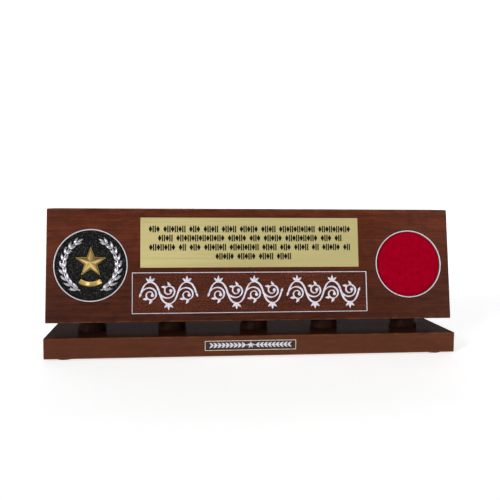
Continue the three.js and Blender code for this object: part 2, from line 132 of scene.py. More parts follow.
class Nodes:
    """A small helper around one material's node tree, with object positions in metres."""

    def __init__(self, name):
        self.material = bpy.data.materials.new(name)
        self.material.use_nodes = True
        self.tree = self.material.node_tree
        self.shader = self.tree.nodes["Principled BSDF"]
        self.place = self.new("ShaderNodeTexCoord").outputs["Object"]

    def new(self, kind):
        return self.tree.nodes.new(kind)

    def feed(self, socket, value):
        """Links a node's output to a socket, or sets a plain number or colour on it."""
        if isinstance(value, (int, float)):
            socket.default_value = value
        elif isinstance(value, tuple):
            socket.default_value = (*value, 1.0)
        else:
            self.tree.links.new(value, socket)

    def scaled(self, x, y, z):
        """The position, stretched by a factor along each axis."""
        mapping = self.new("ShaderNodeMapping")
        mapping.inputs["Scale"].default_value = (x, y, z)
        self.feed(mapping.inputs["Vector"], self.place)
        return mapping.outputs["Vector"]

    def part(self, vector, axis):
        """One of a vector's three parts."""
        split = self.new("ShaderNodeSeparateXYZ")
        self.feed(split.inputs["Vector"], vector)
        return split.outputs[axis]

    def rings(self, grain, slow, fast):
        """A position whose X runs slowly along the grain and whose Y counts a tree's rings outwards."""
        flat = self.new("ShaderNodeVectorMath")
        flat.operation = "MULTIPLY_ADD"
        self.feed(flat.inputs[0], self.place)
        flat.inputs[1].default_value = [0.0 if axis == grain else 1.0 for axis in "XYZ"]
        heart = (0.0, 0.045, 0.260) if grain == "X" else (0.31, 0.045, 0.0)
        flat.inputs[2].default_value = heart
        out = self.new("ShaderNodeVectorMath")
        out.operation = "LENGTH"
        self.feed(out.inputs[0], flat.outputs["Vector"])
        join = self.new("ShaderNodeCombineXYZ")
        self.feed(join.inputs["X"], self.math("MULTIPLY", self.part(self.place, grain), slow))
        self.feed(join.inputs["Y"], self.math("MULTIPLY", out.outputs["Value"], fast))
        return join.outputs["Vector"]

    def noise(self, vector, scale=1.0, detail=4.0, rough=0.5, distortion=0.0):
        node = self.new("ShaderNodeTexNoise")
        node.inputs["Scale"].default_value = scale
        node.inputs["Detail"].default_value = detail
        node.inputs["Roughness"].default_value = rough
        node.inputs["Distortion"].default_value = distortion
        self.feed(node.inputs["Vector"], vector)
        return node.outputs["Fac"]

    def ramp(self, value, stops):
        """A colour ramp through (position, colour) stops."""
        node = self.new("ShaderNodeValToRGB")
        elements = node.color_ramp.elements
        while len(elements) < len(stops):
            elements.new(0.5)
        for element, (position, colour) in zip(elements, stops):
            element.position = position
            element.color = (*colour, 1.0)
        self.feed(node.inputs["Fac"], value)
        return node.outputs["Color"]

    def between(self, value, start, end, low=0.0, high=1.0):
        """value from start..end, mapped smoothly onto low..high."""
        node = self.new("ShaderNodeMapRange")
        node.interpolation_type = "SMOOTHSTEP"
        for name, number in (("From Min", start), ("From Max", end), ("To Min", low), ("To Max", high)):
            node.inputs[name].default_value = number
        self.feed(node.inputs["Value"], value)
        return node.outputs["Result"]

    def math(self, operation, a, b):
        node = self.new("ShaderNodeMath")
        node.operation = operation
        self.feed(node.inputs[0], a)
        self.feed(node.inputs[1], b)
        return node.outputs["Value"]

    def blend(self, a, b, share):
        """The two values mixed by a fixed share of the second."""
        return self.math("ADD", self.math("MULTIPLY", a, 1 - share), self.math("MULTIPLY", b, share))

    def mix(self, factor, a, b, blend="MIX"):
        node = self.new("ShaderNodeMix")
        node.data_type = "RGBA"
        node.blend_type = blend
        self.feed(node.inputs["Factor"], factor)
        self.feed(node.inputs["A"], a)
        self.feed(node.inputs["B"], b)
        return node.outputs["Result"]

    def times(self, a, b):
        return self.mix(1.0, a, b, "MULTIPLY")

    def bump(self, height, distance, strength):
        node = self.new("ShaderNodeBump")
        node.inputs["Distance"].default_value = distance
        node.inputs["Strength"].default_value = strength
        self.feed(node.inputs["Height"], height)
        return node.outputs["Normal"]

    def attribute(self, name):
        node = self.new("ShaderNodeAttribute")
        node.attribute_name = name
        return node.outputs["Fac"]

    def finish(self, colour, roughness, normal, **plain):
        """Links the varying sockets and sets the uniform ones straight on the shader."""
        self.feed(self.shader.inputs["Base Color"], colour)
        self.feed(self.shader.inputs["Roughness"], roughness)
        self.feed(self.shader.inputs["Normal"], normal)
        for name, value in plain.items():
            self.shader.inputs[name.replace("_", " ")].default_value = value
        return self.material


# ---------------------------------------------------------------------------------------------
# Materials
# ---------------------------------------------------------------------------------------------

def floor_material():
    """White acrylic sheet, lit a little from within."""
    n = Nodes("pale_floor")
    soft = n.noise(n.place, scale=1.3, detail=2.0)
    colour = n.ramp(soft, [(0.3, (0.84, 0.84, 0.84)), (0.7, (0.87, 0.87, 0.87))])
    n.shader.inputs["Emission Color"].default_value = (1.0, 1.0, 1.0, 1.0)
    return n.finish(colour, 0.75, n.bump(soft, 0.0005, 0.1), Specular_IOR_Level=0.2, Emission_Strength=0.66)


def mahogany_material(name, grain="X", tint=(1.0, 1.0, 1.0), calm=0.0, gloss=0.10, coat=0.08, painted_shade=None):
    """Red-brown stained mahogany under satin lacquer, with its grain along one axis.

    calm fades the grain, as a heavier stain does. The last argument paints shade into the colour:
    by height, darker towards the foot ("foot"), or darker on what faces up ("top").
    """
    n = Nodes(name)

    def along(slow, fast):
        return n.scaled(*[slow if axis == grain else fast for axis in "XYZ"])

    wander = n.noise(along(3.0, 16.0), detail=3.0)
    streak = n.noise(n.rings(grain, 6.0, 230.0), detail=6.0, rough=0.62, distortion=0.35)
    fine = n.noise(along(26.0, 1150.0), detail=3.0, rough=0.6)
    figure = n.noise(n.scaled(48.0, 80.0, 90.0), detail=6.0, rough=0.66, distortion=0.9)
    pores = n.between(n.noise(along(150.0, 1500.0), detail=2.0), 0.63, 0.74)
    stain = n.ramp(n.blend(streak, wander, 0.45), [
        (0.34, (0.054, 0.0112, 0.0044)),
        (0.46, (0.074, 0.0160, 0.0062)),
        (0.55, (0.088, 0.0200, 0.0078)),
        (0.68, (0.118, 0.0290, 0.0110)),
    ])
    silk = n.ramp(fine, [(0.25, (0.66, 0.64, 0.62)), (0.75, (1.24, 1.22, 1.20))])
    mottle = n.ramp(figure, [(0.30, (0.66, 0.69, 0.76)), (0.70, (1.30, 1.24, 1.12))])
    colour = n.times(n.mix(calm, n.times(n.times(stain, silk), mottle), (0.082, 0.0185, 0.0072)), tint)
    # Painted shade and light: the colour darkens towards the foot of the block and lifts a little near its
    # top.
    if painted_shade == "foot":
        height = n.between(n.part(n.place, "Z"), 0.040, 0.120)
        colour = n.times(colour, n.ramp(height, [(0.0, (0.74, 0.78, 0.80)), (1.0, (1.05, 1.05, 1.02))]))
    # Painted shade: whatever faces up is darkened.
    if painted_shade == "top":
        normal = n.new("ShaderNodeNewGeometry").outputs["Normal"]
        upward = n.between(n.part(normal, "Z"), 0.6, 0.95)
        colour = n.times(colour, n.ramp(upward, [(0.0, (1.0, 1.0, 1.0)), (1.0, (0.48, 0.55, 0.62))]))
    # Lighter on the rounded edges, in patches that follow the figure.
    lighter_edges = n.math("MULTIPLY", n.attribute("edge"), n.between(figure, 0.40, 0.62, 0.15, 0.75))
    colour = n.mix(lighter_edges, colour, (0.150, 0.046, 0.020))
    colour = n.mix(n.math("MULTIPLY", pores, 0.65), colour, (0.010, 0.004, 0.003))
    relief = n.blend(fine, pores, -0.7)
    return n.finish(colour, n.between(fine, 0.3, 0.7, 0.36, 0.50), n.bump(relief, 0.00006, 0.5),
                    Specular_IOR_Level=gloss, Coat_Weight=coat, Coat_Roughness=0.16)


def blasted_wood_material():
    """Mahogany whose soft grain has been blasted away: matt, speckled and darker in its pits."""
    n = Nodes("mahogany_blasted")
    pit = n.attribute("crest")
    speck = n.noise(n.place, scale=1500.0, detail=3.0, rough=0.7)
    streak = n.noise(n.scaled(60.0, 900.0, 900.0), detail=4.0, rough=0.6)
    patch = n.noise(n.scaled(20.0, 60.0, 60.0), detail=3.0)
    stain = n.ramp(streak, [(0.3, (0.052, 0.0120, 0.0054)), (0.7, (0.112, 0.0300, 0.0128))])
    dots = n.ramp(n.blend(speck, pit, 0.5),
                  [(0.36, (0.16, 0.15, 0.18)), (0.50, (0.80, 0.76, 0.76)), (0.66, (2.5, 2.2, 2.1))])
    cloud = n.ramp(patch, [(0.3, (0.80, 0.80, 0.84)), (0.7, (1.18, 1.15, 1.10))])
    colour = n.times(n.times(stain, dots), cloud)
    return n.finish(colour, n.between(speck, 0.3, 0.7, 0.55, 0.75), n.bump(speck, 0.00025, 0.7),
                    Specular_IOR_Level=0.1)


def brass_material():
    """Satin brass sheet, brushed along its length, pale gold under clear lacquer."""
    n = Nodes("satin_brass")
    brush = n.noise(n.scaled(9.0, 2600.0, 2600.0), detail=3.0, rough=0.6)
    cloud = n.noise(n.scaled(9.0, 14.0, 14.0), detail=2.0)
    colour = n.ramp(cloud, [(0.3, (0.555, 0.478, 0.210)), (0.7, (0.625, 0.548, 0.255))])
    tint = n.ramp(brush, [(0.25, (0.90, 0.90, 0.88)), (0.75, (1.06, 1.06, 1.05))])
    return n.finish(n.times(colour, tint), n.between(brush, 0.3, 0.7, 0.42, 0.58),
                    n.bump(brush, 0.00002, 0.6), Metallic=0.62, Coat_Weight=0.15, Coat_Roughness=0.3)


def plated_material(name, bright, deep):
    """Antiqued plating: bright on the crests, dark in the hollows, from the pieces' crest value."""
    n = Nodes(name)
    grit = n.noise(n.place, scale=2300.0, detail=3.0, rough=0.6)
    wear = n.math("ADD", n.attribute("crest"), n.math("MULTIPLY", n.math("SUBTRACT", grit, 0.5), 0.45))
    colour = n.mix(n.between(wear, 0.12, 0.62), deep, bright)
    return n.finish(colour, n.between(wear, 0.1, 0.8, 0.62, 0.34), n.bump(grit, 0.00006, 0.4), Metallic=0.9)


def black_enamel_material():
    """The medallion's black pebbled ground, with a faint grey painted highlight on the tops of its grains."""
    n = Nodes("black_enamel")
    grit = n.noise(n.place, scale=1500.0, detail=3.0, rough=0.7)
    # Painted highlight: faint grey on the tops of the grains.
    top = n.math("MULTIPLY", n.between(n.attribute("crest"), 0.50, 0.90), n.between(grit, 0.44, 0.60))
    colour = n.mix(top, (0.0040, 0.0042, 0.0038), (0.190, 0.198, 0.185))
    return n.finish(colour, n.between(grit, 0.3, 0.7, 0.42, 0.6), n.bump(grit, 0.00008, 0.5),
                    Specular_IOR_Level=0.05)


def paint_material(name, low, high, roughness, coat):
    """Brushed-on enamel, with faint unevenness in its colour and surface."""
    n = Nodes(name)
    cloud = n.noise(n.place, scale=420.0, detail=3.0, rough=0.6)
    skin = n.noise(n.place, scale=1400.0, detail=2.0)
    colour = n.ramp(cloud, [(0.3, low), (0.65, high)])
    return n.finish(colour, n.between(skin, 0.3, 0.7, roughness - 0.06, roughness + 0.08),
                    n.bump(skin, 0.00005, 0.35), Coat_Weight=coat, Coat_Roughness=0.15)


def felt_material(name, dark, light, sheen):
    """Pressed felt: a matt tangle of short fibres, lighter where they stand up."""
    n = Nodes(name)
    fibre = n.noise(n.place, scale=1900.0, detail=5.0, rough=0.75, distortion=1.4)
    tuft = n.noise(n.place, scale=260.0, detail=3.0, rough=0.6)
    nap = n.blend(fibre, tuft, 0.35)
    return n.finish(n.ramp(nap, [(0.34, dark), (0.64, light)]), n.between(nap, 0.3, 0.7, 0.88, 1.0),
                    n.bump(nap, 0.0003, 0.6), Sheen_Weight=sheen, Sheen_Roughness=0.5,
                    Specular_IOR_Level=0.0)


def label_material():
    """Dark stained veneer of the small label."""
    n = Nodes("dark_label")
    streak = n.noise(n.scaled(14.0, 700.0, 700.0), detail=4.0, rough=0.6)
    colour = n.ramp(streak, [(0.3, (0.020, 0.0080, 0.0054)), (0.7, (0.044, 0.0175, 0.0110))])
    return n.finish(colour, n.between(streak, 0.3, 0.7, 0.38, 0.5), n.bump(streak, 0.00003, 0.4),
                    Specular_IOR_Level=0.3)


def engraving_material():
    """Black filling of the brass plate's engraving."""
    n = Nodes("black_fill")
    grain = n.noise(n.place, scale=1800.0, detail=3.0)
    colour = n.ramp(grain, [(0.3, (0.004, 0.0036, 0.003)), (0.7, (0.010, 0.009, 0.007))])
    return n.finish(colour, n.between(grain, 0.3, 0.7, 0.5, 0.62), n.bump(grain, 0.00002, 0.4),
                    Specular_IOR_Level=0.1)


def steel_material():
    """Zinc-plated screws, with the fine rings that turning leaves."""
    n = Nodes("screw_steel")
    spin = n.noise(n.scaled(300.0, 300.0, 4000.0), detail=3.0)
    colour = n.ramp(spin, [(0.3, (0.42, 0.42, 0.43)), (0.7, (0.60, 0.60, 0.61))])
    return n.finish(colour, n.between(spin, 0.3, 0.7, 0.25, 0.42), n.bump(spin, 0.00002, 0.5),
                    Metallic=1.0)


# ---------------------------------------------------------------------------------------------
# Mesh helpers
# ---------------------------------------------------------------------------------------------

class Relief:
    """Gathers closed shells into one mesh, with a crest value (0 low, 1 high) on each vertex."""

    def __init__(self):
        self.shells = []

    def add(self, verts, faces, crests):
        self.shells.append((verts, faces, crests))

    def loft(self, rings, crests, capped=True):
        """Joins rings of points, all of the same length, into a tube with flat ends."""
        count = len(rings[0])
        verts = [point for ring in rings for point in ring]
        faces = []
        for i in range(len(rings) - 1):
            for j in range(count):
                k = (j + 1) % count
                faces.append((i * count + j, i * count + k, (i + 1) * count + k, (i + 1) * count + j))
        if capped:
            last = (len(rings) - 1) * count
            faces.append(tuple(reversed(range(count))))
            faces.append(tuple(last + j for j in range(count)))
        self.add(verts, faces, [value for ring in crests for value in ring])

    def sweep(self, path, width_at, height_at):
        """A raised stroke along a flat path, rounded across. width_at takes the share and the heading."""
        section = [(-0.5, 0.0), (-0.5, 0.55), (-0.42, 0.84), (-0.24, 0.97), (0.0, 1.0),
                   (0.24, 0.97), (0.42, 0.84), (0.5, 0.55), (0.5, 0.0)]
        rings, crests = [], []
        for i, (x, y) in enumerate(path):
            before, after = path[max(i - 1, 0)], path[min(i + 1, len(path) - 1)]
            heading = math.atan2(after[1] - before[1], after[0] - before[0])
            share = i / (len(path) - 1)
            width, height = width_at(share, heading), height_at(share)
            rings.append([(x - math.sin(heading) * a * width, y + math.cos(heading) * a * width, b * height)
                          for a, b in section])
            crests.append([b for a, b in section])
        self.loft(rings, crests)

    def leaf(self, x, y, angle, size, width, height, bend=0.0, vein=0.35):
        """A pointed leaf that is crowned across, with a groove down its middle."""
        steps, halves = 10, 4
        rings, crests = [], []
        for i in range(steps + 1):
            t = i / steps
            swell = math.sin(math.pi * t ** 0.72) ** 0.9 if 0 < t < 1 else 0.0
            half = max(0.03, swell) * width / 2
            turn = angle + bend * t
            middle_x = x + size * t * math.cos(angle + bend * t / 2)
            middle_y = y + size * t * math.sin(angle + bend * t / 2)
            lift = height * (0.35 + 0.65 * swell)
            ring, crest = [], []
            for j in range(-halves, halves + 1):
                a = j / halves
                crown = (1 - abs(a) ** 2.2) * (1 - vein * math.exp(-(a / 0.22) ** 2))
                ring.append((middle_x - math.sin(turn) * a * half, middle_y + math.cos(turn) * a * half,
                             lift * (0.25 + 0.75 * crown)))
                crest.append(crown)
            for a in (1, -1):
                ring.append((middle_x - math.sin(turn) * a * half, middle_y + math.cos(turn) * a * half, 0.0))
                crest.append(0.0)
            rings.append(ring)
            crests.append(crest)
        self.loft(rings, crests)

    def dome(self, x, y, radius, height, segments=18):
        """A round boss with a soft top."""
        profile = [(1.0, 0.0), (1.0, 0.45), (0.92, 0.74), (0.70, 0.92), (0.36, 1.0)]
        rings = []
        for r, h in profile:
            angles = [2 * math.pi * k / segments for k in range(segments)]
            rings.append([(x + radius * r * math.cos(a), y + radius * r * math.sin(a), h * height)
                          for a in angles])
        self.loft(rings, [[h] * segments for r, h in profile])

    def object(self, name, smooth=35.0, fused=True):
        """One object of all the shells, fused into a single skin or left as they are."""
        meshes = [shell_mesh(*shell) for shell in self.shells]
        mesh = union_of(meshes) if fused and len(meshes) > 1 else gathered(meshes)
        mesh.name = name
        return finish_mesh(name, mesh, smooth)


def shell_mesh(verts, faces, crests):
    """A mesh of one closed shell, with its faces pointing out."""
    mesh = bpy.data.meshes.new("shell")
    mesh.from_pydata([tuple(v) for v in verts], [], faces)
    layer = mesh.attributes.new("crest", "FLOAT", "POINT")
    layer.data.foreach_set("value", np.array(crests, np.float32))
    clean(mesh)
    return mesh


def clean(mesh):
    """Merges vertices that coincide and points the faces out."""
    work = bmesh.new()
    work.from_mesh(mesh)
    bmesh.ops.remove_doubles(work, verts=work.verts, dist=1e-7)
    bmesh.ops.recalc_face_normals(work, faces=work.faces)
    work.to_mesh(mesh)
    work.free()


def gathered(meshes):
    """Several meshes put into one, with nothing joined."""
    work = bmesh.new()
    for mesh in meshes:
        work.from_mesh(mesh)
    total = bpy.data.meshes.new("gathered")
    work.to_mesh(total)
    work.free()
    return total


def union_of(meshes):
    """The solid union of closed meshes."""
    scene = bpy.context.scene
    first, *rest = [bpy.data.objects.new("operand", mesh) for mesh in meshes]
    others = bpy.data.collections.new("operands")
    scene.collection.children.link(others)
    scene.collection.objects.link(first)
    for piece in rest:
        others.objects.link(piece)
    union = first.modifiers.new("union", "BOOLEAN")
    union.operation = "UNION"
    union.operand_type = "COLLECTION"
    union.collection = others
    union.solver = "MANIFOLD"
    graph = bpy.context.evaluated_depsgraph_get()
    mesh = bpy.data.meshes.new_from_object(first.evaluated_get(graph))
    for piece in (first, *rest):
        bpy.data.objects.remove(piece)
    bpy.data.collections.remove(others)
    return mesh


def finish_mesh(name, mesh, smooth=35.0):
    """Links a mesh as an object that is shaded smooth up to an angle, in degrees."""
    clean(mesh)
    mesh.polygons.foreach_set("use_smooth", [True] * len(mesh.polygons))
    mesh.set_sharp_from_angle(angle=math.radians(smooth))
    made = bpy.data.objects.new(name, mesh)
    bpy.context.scene.collection.objects.link(made)
    return made


def middle(node):
    low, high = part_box(node)
    return (low + high) / 2


def face_matrix(node, x=0.0, y=0.0, z=0.0):
    """Face directions, with their origin moved by x, y, z from the middle of a CAD piece set in it."""
    turn = Matrix.Rotation(math.pi / 2 - FACE_TILT, 4, "X")
    return Matrix.Translation(middle(node)) @ turn @ Matrix.Translation((x, y, z))


def front_matrix(node, z=0.0):
    """The same for a piece in the upright front of the base."""
    turn = Matrix.Rotation(math.pi / 2, 4, "X")
    return Matrix.Translation(middle(node)) @ turn @ Matrix.Translation((0.0, 0.0, z))


def width_of(*nodes):
    """How far CAD pieces reach along X."""
    boxes = [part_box(node) for node in nodes]
    return max(high.x for low, high in boxes) - min(low.x for low, high in boxes)


def settle(piece, slot, material, *nodes, matrix=None):
    """Moves a piece's mesh into place, gives it its material, and ties it to the frame."""
    if matrix is not None:
        piece.data.transform(matrix)
    piece.data.materials.clear()
    piece.data.materials.append(material)
    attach(piece, "root")
    if nodes:
        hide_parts(*nodes)
    return piece


def circle(radius, height, segments):
    angles = [2 * math.pi * k / segments for k in range(segments)]
    return [(radius * math.cos(a), radius * math.sin(a), height) for a in angles]


def turned(name, profile, segments=96, smooth=35.0):
    """A solid of revolution about Z whose (radius, height) profile ends where it starts."""
    relief = Relief()
    rings = [circle(radius, height, segments) for radius, height in profile]
    relief.loft(rings, [[0.5] * segments] * len(profile), capped=False)
    return relief.object(name, smooth)


def slab(name, width, height, thickness, edge):
    """A flat rectangular plate centred on the origin, with softened edges all round."""
    work = bmesh.new()
    bmesh.ops.create_cube(work, size=1.0)
    bmesh.ops.scale(work, vec=(width, height, thickness), verts=work.verts)
    bmesh.ops.bevel(work, geom=list(work.edges), offset=edge, segments=3, profile=0.5, affect="EDGES")
    mesh = bpy.data.meshes.new(name)
    work.to_mesh(mesh)
    work.free()
    made = finish_mesh(name, mesh)
    even_shading(mesh, 50.0)
    return made


def frame_line(name, width, height, line, thickness):
    """A rectangular line with a rounded top, mitred at its corners, centred on the origin."""
    section = [(-0.5, -0.5), (-0.5, 0.2), (-0.36, 0.43), (-0.2, 0.5), (0.2, 0.5), (0.36, 0.43),
               (0.5, 0.2), (0.5, -0.5)]
    corners = ((-1, -1), (1, -1), (1, 1), (-1, 1))
    count = len(section)
    verts = [(sx * (width / 2 + a * line), sy * (height / 2 + a * line), b * thickness)
             for sx, sy in corners for a, b in section]
    faces = []
    for i in range(4):
        for j in range(count):
            k, m = (j + 1) % count, (i + 1) % 4
            faces.append((i * count + j, m * count + j, m * count + k, i * count + k))
    relief = Relief()
    relief.add(verts, faces, [0.5 + b for corner in corners for a, b in section])
    return relief.object(name, 40.0)


def even_shading(mesh, limit):
    """Custom normals: round edges shade softly and the large flats beside them stay flat.

    Each corner's normal averages the faces around it that lie within the limit, in degrees, and
    each face counts by the area of the whole flat that it is a part of. The edge attribute is 1 on
    the narrow rounded faces and 0 on the flats.
    """
    faces = mesh.polygons
    flat_of, flat_area, flat_plane, around = [], {}, {}, [[] for _ in mesh.vertices]
    for face in faces:
        normal = face.normal
        key = (round(normal.x, 2), round(normal.y, 2), round(normal.z, 2),
               round(normal.dot(face.center), 4))
        flat_of.append(key)
        flat_area[key] = flat_area.get(key, 0.0) + face.area
        flat_plane.setdefault(key, (normal.copy(), face.center.copy()))
        for vertex in face.vertices:
            around[vertex].append(face.index)
    narrow = 0.02 * max(flat_area.values())
    flats = [key for key, area in flat_area.items() if area > narrow]
    thickness = 0.02 * MM
    for face in faces:
        corners = [mesh.vertices[vertex].co for vertex in face.vertices]
        for key in flats:
            across, point = flat_plane[key]
            if all(abs(across.dot(corner - point)) < thickness for corner in corners):
                flat_of[face.index] = key
                break
    facing = [flat_plane[key][0] for key in flat_of]
    least = math.cos(math.radians(limit))
    normals = [None] * len(mesh.loops)
    edge = np.zeros(len(mesh.loops), np.float32)
    for face in faces:
        for loop, vertex in zip(face.loop_indices, face.vertices):
            near = {flat_of[i]: facing[i] for i in around[vertex]
                    if facing[i].dot(facing[face.index]) > least}
            total = Vector((0.0, 0.0, 0.0))
            for key, normal in near.items():
                total += normal * flat_area[key]
            normals[loop] = total.normalized()
            edge[loop] = 1.0 if flat_area[flat_of[face.index]] < narrow else 0.0
    mesh.attributes.new("edge", "FLOAT", "CORNER").data.foreach_set("value", edge)
    mesh.normals_split_custom_set(normals)


def smooth_copy(node, name, slot, material):
    """A CAD piece whose shape is final, with soft shading over its rounded edges and bores."""
    piece = finish_mesh(name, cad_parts[node].data.copy(), 180.0)
    even_shading(piece.data, 40.0)
    return settle(piece, slot, material, node)


# ---------------------------------------------------------------------------------------------
# Wood
# ---------------------------------------------------------------------------------------------

def make_woodwork():
    """The block, the base board, the pegs between them, and the floor of the ornament panel."""
    # The face's material has painted shade: darker towards the foot.
    smooth_copy("wedge_block", "block", "mahogany", mahogany_material("mahogany_face", painted_shade="foot"))
    # The board's material darkens what faces up: painted shade.
    # The board's tint lifts green and blue to grey its stain: painted sheen in place of the front's satin
    # reflection.
    board = mahogany_material("mahogany_board", tint=(1.08, 1.55, 2.1), calm=0.6, gloss=0.0, coat=0.03,
                              painted_shade="top")
    smooth_copy("base_board", "board", "mahogany", board)
    # The pegs' tint darkens their stain: painted shade for the block's shadow over them.
    dowel = mahogany_material("mahogany_peg", "Z", tint=(0.22, 0.34, 0.50), gloss=0.04, coat=0.05)
    for i in range(1, PEGS + 1):
        make_peg(i, dowel)
    make_panel_floor()


def make_peg(i, material):
    """A turned peg: a bore for its screw, eased rims, and faint lines left by the tool."""
    node = f"spacer_peg_{i}"
    low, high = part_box(node)
    radius, height = (high.x - low.x) / 2, high.z - low.z
    bore, ease, line = 2.5 * MM, 0.6 * MM, 0.03 * MM
    profile = [(bore, 0.0), (radius - ease, 0.0), (radius - 0.3 * ease, 0.3 * ease)]
    steps = 40
    for step in range(steps + 1):
        z = ease + (height - 2 * ease) * step / steps
        profile.append((radius - line * (step % 2), z))
    profile += [(radius - 0.3 * ease, height - 0.3 * ease), (radius - ease, height), (bore, height),
                (bore, 0.0)]
    peg = turned(f"peg_{i}", profile, 96, 50.0)
    place = Matrix.Translation((middle(node).x, middle(node).y, low.z))
    settle(peg, "mahogany", material, node, matrix=place)


def make_panel_floor():
    """The blasted floor of the ornament panel: a finely pitted sheet inside the frame line."""
    line, depth, grain, skirt, gap = 0.85 * MM, 1.2 * MM, 0.20 * MM, 0.2 * MM, 0.1 * MM
    width = width_of("name_frame") - 2 * (line + gap)
    height = 42.25 * MM
    proud_to_middle = 0.9 * MM
    floor_height = proud_to_middle - PROUD_OF_FACE - depth
    coarse_pits, fine_pits = 900, 2100
    columns, rows = 460, 76
    verts, crests = [], []
    for row in range(rows + 1):
        for column in range(columns + 1):
            x, y = (column / columns - 0.5) * width, (row / rows - 0.5) * height
            coarse, fine = Vector((x, y, 0.0)) * coarse_pits, Vector((x, y, 0.002)) * fine_pits
            pit = (noise.noise(coarse) + 0.6 * noise.noise(fine)) / 1.6
            verts.append((x, y, floor_height + grain * (0.6 + pit)))
            crests.append(0.5 + 0.5 * pit)
    across = columns + 1
    faces = [(r * across + c, r * across + c + 1, (r + 1) * across + c + 1, (r + 1) * across + c)
             for r in range(rows) for c in range(columns)]
    border = list(range(across))
    border += [r * across + columns for r in range(1, rows + 1)]
    border += [rows * across + c for c in range(columns - 1, -1, -1)]
    border += [r * across for r in range(rows - 1, 0, -1)]
    start = len(verts)
    for i in border:
        verts.append((verts[i][0], verts[i][1], floor_height - skirt))
        crests.append(0.0)
    for i, a in enumerate(border):
        k = (i + 1) % len(border)
        faces.append((border[k], a, start + i, start + k))
    faces.append(tuple(start + i for i in reversed(range(len(border)))))
    relief = Relief()
    relief.add(verts, faces, crests)
    floor = relief.object("panel_floor", 60.0)
    settle(floor, "mahogany", blasted_wood_material(), matrix=face_matrix("name_frame"))


# ---------------------------------------------------------------------------------------------
# Rings, medallion and coin recess
# ---------------------------------------------------------------------------------------------

def make_rings(enamel):
    """The two white rings, each with a rounded top."""
    line, half_high, soft, arc_steps = 1.1 * MM, 0.70 * MM, 0.4 * MM, 8
    for node, name in (("medallion_rim", "medallion_ring"), ("coin_rim", "coin_ring")):
        outer = width_of(node) / 2
        inner, centre = outer - line, outer - line / 2
        profile = [(inner, -half_high), (outer, -half_high)]
        for i in range(arc_steps + 1):
            angle = i / arc_steps * math.pi
            profile.append((centre + line / 2 * math.cos(angle), half_high - soft + soft * math.sin(angle)))
        profile.append((inner, -half_high))
        ring = turned(name, profile, 160, 40.0)
        settle(ring, "white_enamel", enamel, node, matrix=face_matrix(node))


def pebbled_disc(name, radius, half_thick, grain, depth):
    """A round slab whose top is covered in small rounded grains."""
    segments, step = 460, 0.40 * MM
    count = int(radius / step)
    loops, values = [circle(radius, -half_thick, segments)], [[0.0] * segments]
    for i in range(count):
        loop, row = [], []
        for x, y, z in circle(radius * (1 - i / count), half_thick, segments):
            distance = noise.voronoi(Vector((x, y, 0.0)) / grain)[0][0]
            bump = max(0.0, 1.0 - (distance / 0.62) ** 2) if i else 0.0
            loop.append((x, y, z - depth * (1 - bump)))
            row.append(bump)
        loops.append(loop)
        values.append(row)
    relief = Relief()
    relief.loft(loops, values)
    return relief.object(name, 60.0)


def make_medallion():
    """A star over a ribbon, inside a laurel wreath, on a black pebbled ground."""
    node, half_thick, sunk = "medallion_disc", 1.425 * MM, 0.12 * MM
    ground = half_thick - sunk
    gold = plated_material("gold_plate", (0.68, 0.48, 0.17), (0.070, 0.040, 0.012))
    silver = plated_material("silver_plate", (0.53, 0.52, 0.57), (0.030, 0.030, 0.035))
    disc = pebbled_disc("medallion_field", width_of(node) / 2, half_thick, 0.85 * MM, 0.24 * MM)
    settle(disc, "black_enamel", black_enamel_material(), node, matrix=face_matrix(node))
    star = ridged_star("star", 17 * MM, 7 * MM, 0.9 * MM, 3.6 * MM)
    settle(star, "gold_plate", gold, "medallion_star", matrix=face_matrix(node, y=3 * MM, z=ground))
    for side, word in ((1, "right"), (-1, "left")):
        half = wreath_half(f"wreath_{word}", side)
        place = face_matrix(node, z=ground)
        settle(half, "silver_plate", silver, f"medallion_wreath_{word}", matrix=place)
    settle(ribbon("ribbon"), "gold_plate", gold, "medallion_ribbon", matrix=face_matrix(node, z=ground))


def star_outline(outer, inner):
    radii = [outer if i % 2 == 0 else inner for i in range(10)]
    angles = [math.pi / 2 + i * math.pi / 5 for i in range(10)]
    return [(r * math.cos(a), r * math.sin(a)) for r, a in zip(radii, angles)]


def ridged_star(name, outer, inner, edge, crown):
    """A five-pointed star: sharp ridges to its points, valleys between, and a raised border."""
    points = star_outline(outer, inner)
    levels = [(1.0, 0.0, 0.0), (1.0, 0.75 * edge, 0.1), (0.97, edge, 0.75), (0.91, edge, 0.7),
              (0.88, 0.7 * edge, 0.0)]
    rings = [[(x * s, y * s, z) for x, y in points] for s, z, crest in levels]
    crests = [[crest] * 10 for s, z, crest in levels]
    steps, first, least = 5, 0.87, 0.004
    for i in range(1, steps + 1):
        share = first * (1 - i / steps) + least
        height = 0.7 * edge + (crown - 0.7 * edge) * i / steps
        rings.append([(x * share, y * share, height) for x, y in points])
        crests.append([0.95 if k % 2 == 0 else 0.40 + 0.1 * i for k in range(10)])
    relief = Relief()
    relief.loft(rings, crests)
    return relief.object(name, 12.0)


